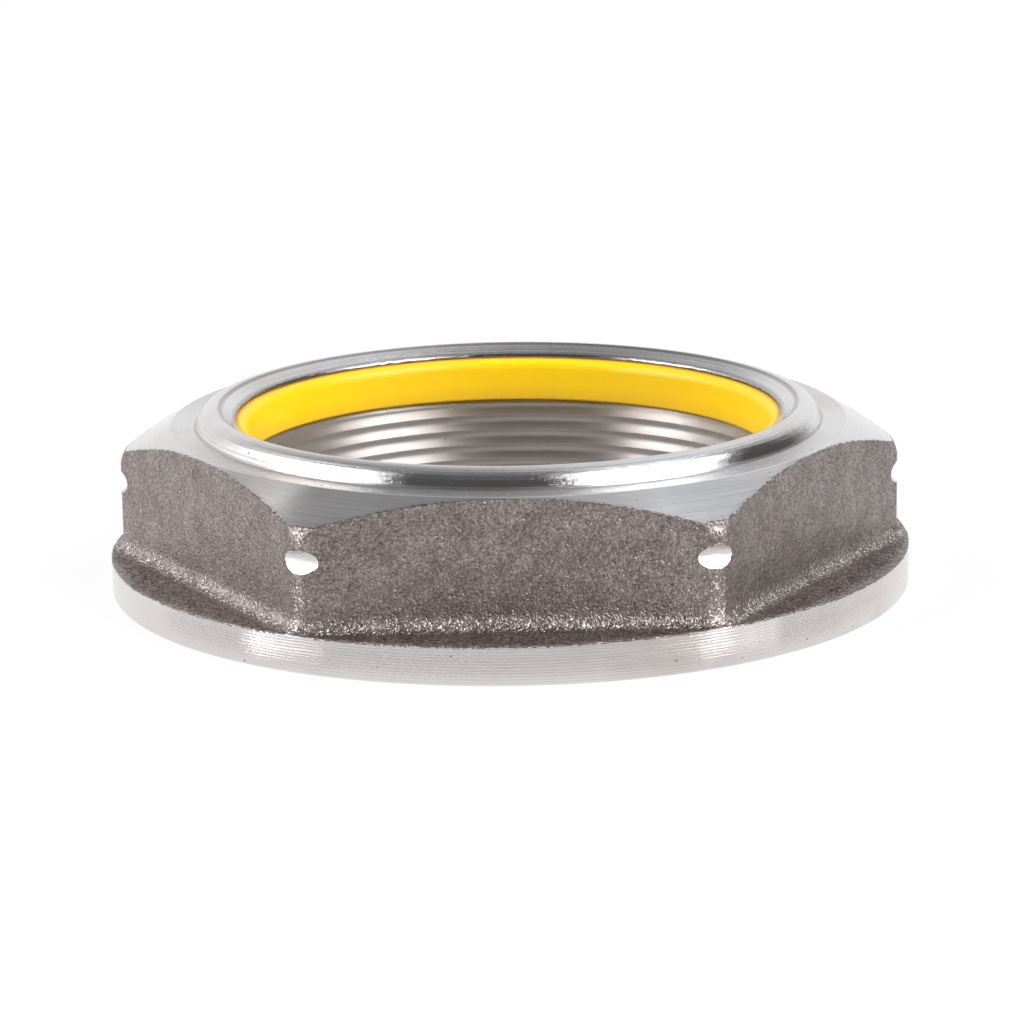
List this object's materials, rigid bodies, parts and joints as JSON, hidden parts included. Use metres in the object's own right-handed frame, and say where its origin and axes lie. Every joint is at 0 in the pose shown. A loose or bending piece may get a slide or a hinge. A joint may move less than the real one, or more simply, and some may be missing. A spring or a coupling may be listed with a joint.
{
  "type": "hub nut",
  "caption": "Flanged hexagonal hub nut for a large left-hand fine thread, with a polymer locking ring held in the top under a rolled lip.",
  "frame": {"origin": "centre of the thread at the flange's seat face, where the nut rests", "axes": "+Z along the thread axis from the seat face to the locking ring, -Y out of the flat that faces the viewer, +X out of a corner"},
  "size_m": [0.1, 0.1, 0.0227],
  "materials": {
    "forged_steel": "blasted forged skin with bright turned faces",
    "locking_polymer": "smooth, slightly glossy, moulded"
  },
  "bodies": {
    "root": {"nut_body": "forged_steel", "locking_ring": "locking_polymer"}
  },
  "joints": []
}
